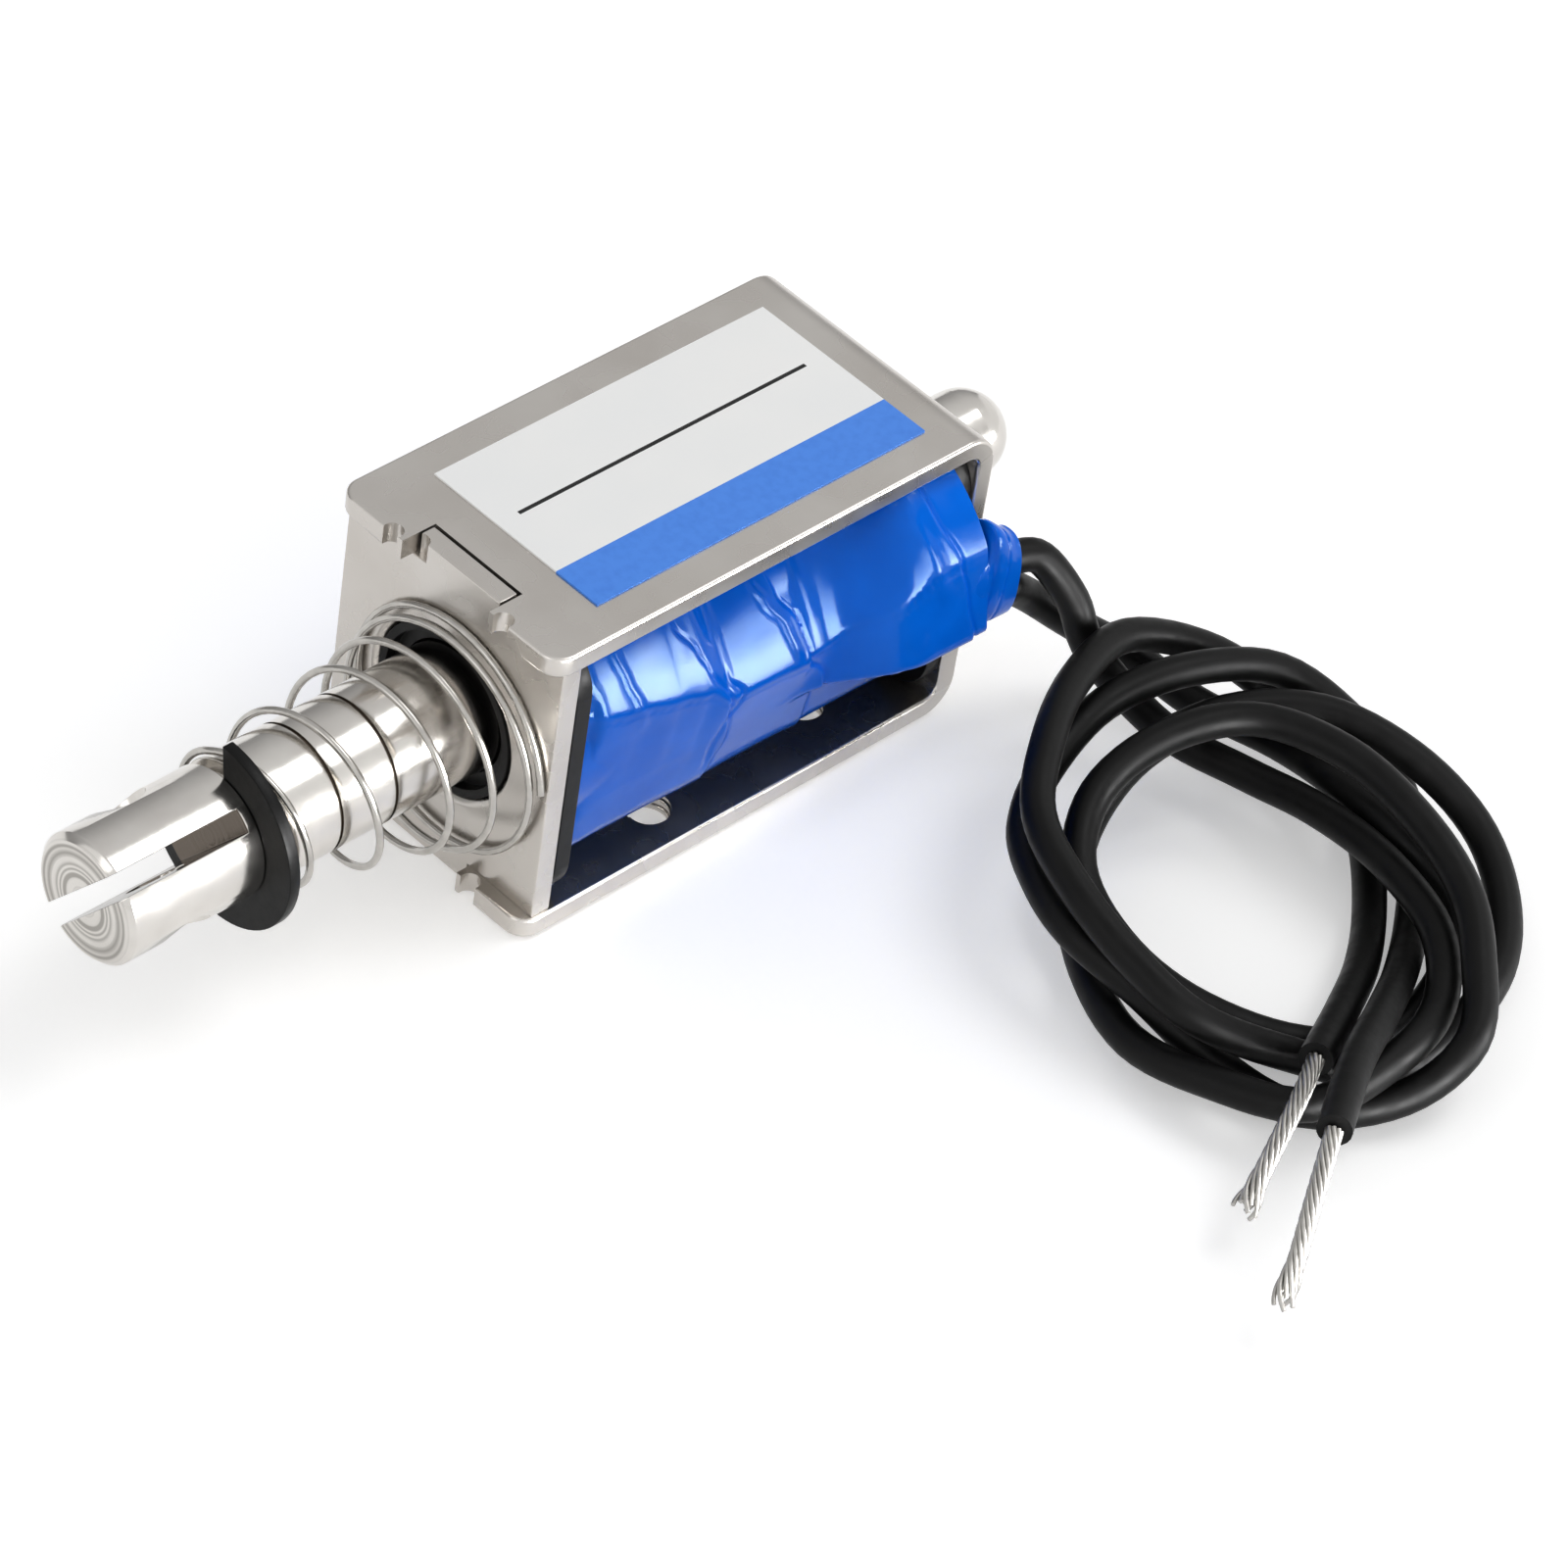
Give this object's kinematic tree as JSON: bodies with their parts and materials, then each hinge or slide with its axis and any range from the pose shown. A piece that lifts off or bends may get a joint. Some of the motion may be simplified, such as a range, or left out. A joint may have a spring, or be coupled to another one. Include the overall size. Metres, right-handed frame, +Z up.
{
  "type": "push pull solenoid",
  "caption": "Open-frame push pull solenoid: staked steel yoke, taped coil, slotted plunger with E-clip and conical return spring, rear push rod and two flying leads.",
  "frame": {"origin": "middle of the yoke's bottom face, which is the mounting face, midway along the yoke's length and width", "axes": "+X along the plunger's axis towards its slotted tip, +Y towards the open side where the leads leave the coil, +Z up through the label"},
  "size_m": [0.0657, 0.0583, 0.0186],
  "materials": {
    "plated_sheet": "nickel-plated sheet steel, satin with rolled edges",
    "turned_steel": "turned and nickel-plated steel, bright with fine turning marks",
    "core_steel": "turned steel, riveted over at the rear",
    "spring_wire": "bright drawn spring wire",
    "black_oxide": "blackened spring steel, semi-matt",
    "bobbin_black": "black moulded plastic, semi-matt",
    "coil_copper": "enamelled copper wire",
    "blue_tape": "glossy thin insulating tape with creases",
    "joint_sleeve": "thin shrunk sleeve",
    "label_film": "white printed film with a blue band and a black rule, no text",
    "shim_brass": "thin punched brass shim",
    "lead_black": "satin black flexible insulation",
    "tinned_copper": "twisted tinned copper strands"
  },
  "bodies": {
    "housing": {"frame": "plated_sheet", "front_plate": "plated_sheet", "fixed_core": "core_steel", "bobbin": "bobbin_black", "winding": "coil_copper", "coil_tape": "blue_tape", "lead_tape": "blue_tape", "joint_sleeve_a": "joint_sleeve", "joint_sleeve_b": "joint_sleeve", "label": "label_film", "return_spring": "spring_wire", "lead_wire_a": "lead_black", "lead_wire_b": "lead_black", "conductor_a": "tinned_copper", "conductor_b": "tinned_copper"},
    "clip": {"retaining_clip": "black_oxide"},
    "plunger": {"plunger": "turned_steel", "push_rod": "turned_steel", "shim_washer": "shim_brass"}
  },
  "joints": [
    {"name": "plunger_slide", "type": "slide", "parent": "housing", "child": "clip", "axis": [-1, 0, 0], "range_m": [0, 0.01], "stiffness_N_per_m": 100, "deforming": ["return_spring"]},
    {"name": "plunger_spin", "type": "hinge", "parent": "clip", "child": "plunger", "pos_m": [0, 0, 0.00925], "axis": [1, 0, 0], "continuous": true}
  ]
}
